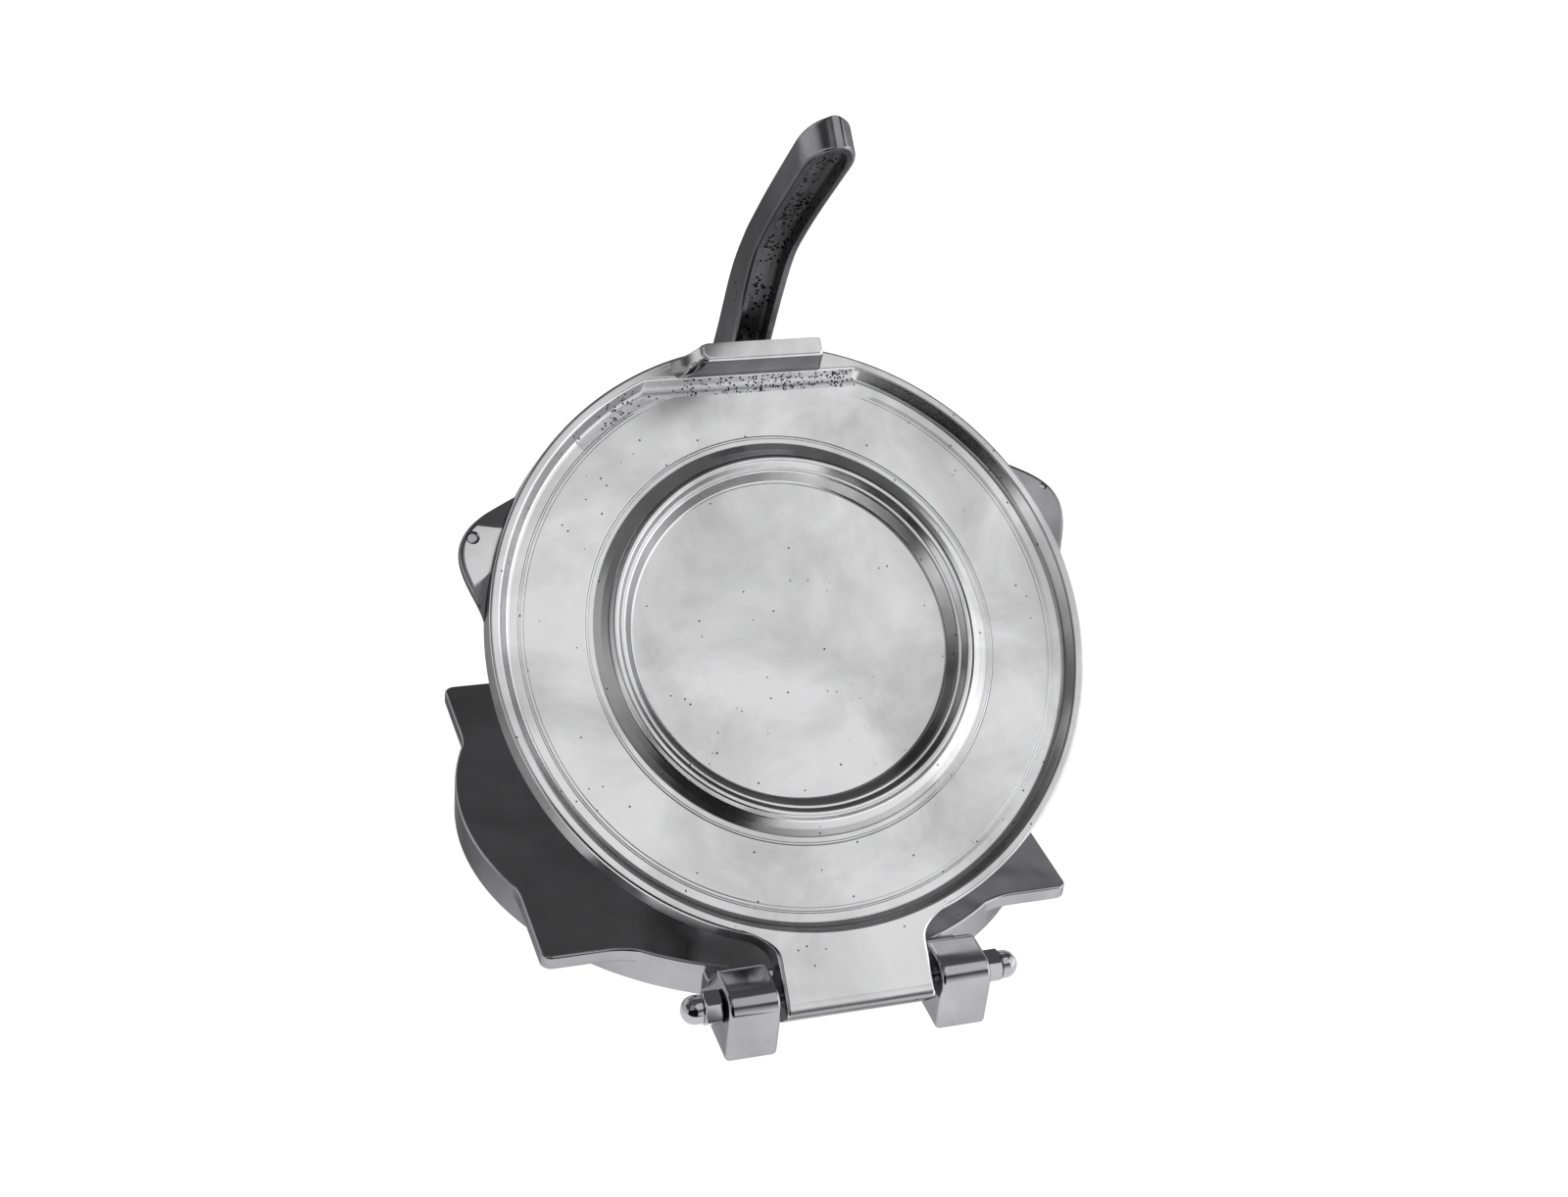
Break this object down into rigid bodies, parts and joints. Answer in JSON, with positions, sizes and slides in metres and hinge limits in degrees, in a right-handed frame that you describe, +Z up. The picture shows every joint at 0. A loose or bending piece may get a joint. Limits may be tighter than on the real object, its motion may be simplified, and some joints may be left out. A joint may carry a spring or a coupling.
{
  "type": "tortilla press",
  "caption": "Hand press of cast aluminium: a round base, a hinged round top plate with a raised rim and ring, and a long bent lever pivoted behind it.",
  "frame": {"origin": "on the table, under the middle of the overall length and width", "axes": "+Z up; +Y from the plate's hinge towards the lever's pivot; +X to the right as seen from the hinge"},
  "size_m": [0.209, 0.26, 0.2633],
  "materials": {
    "base_casting": "polished casting",
    "plate_casting": "polished casting",
    "lever_casting": "ground and polished casting",
    "fasteners": "bright plated"
  },
  "bodies": {
    "base": {"base_plate": "base_casting", "hinge_rod": "fasteners", "hinge_nut_left": "fasteners", "hinge_nut_right": "fasteners", "lever_rod": "fasteners", "lever_nut_left": "fasteners", "lever_nut_right": "fasteners"},
    "plate": {"top_plate": "plate_casting"},
    "handle": {"lever": "lever_casting"}
  },
  "joints": [
    {"name": "lever_pivot", "type": "hinge", "parent": "base", "child": "handle", "pos_m": [0.003, 0.1078, 0.021], "axis": [-1, 0, 0], "range_deg": [0, 80]},
    {"name": "plate_hinge", "type": "hinge", "parent": "base", "child": "plate", "pos_m": [0, -0.1202, 0.015], "axis": [1, 0, 0], "range_deg": [-42.3, 0]}
  ],
  "couplings": [
    {"joint": "plate_hinge", "follows": "lever_pivot", "ratio": -0.52875}
  ]
}
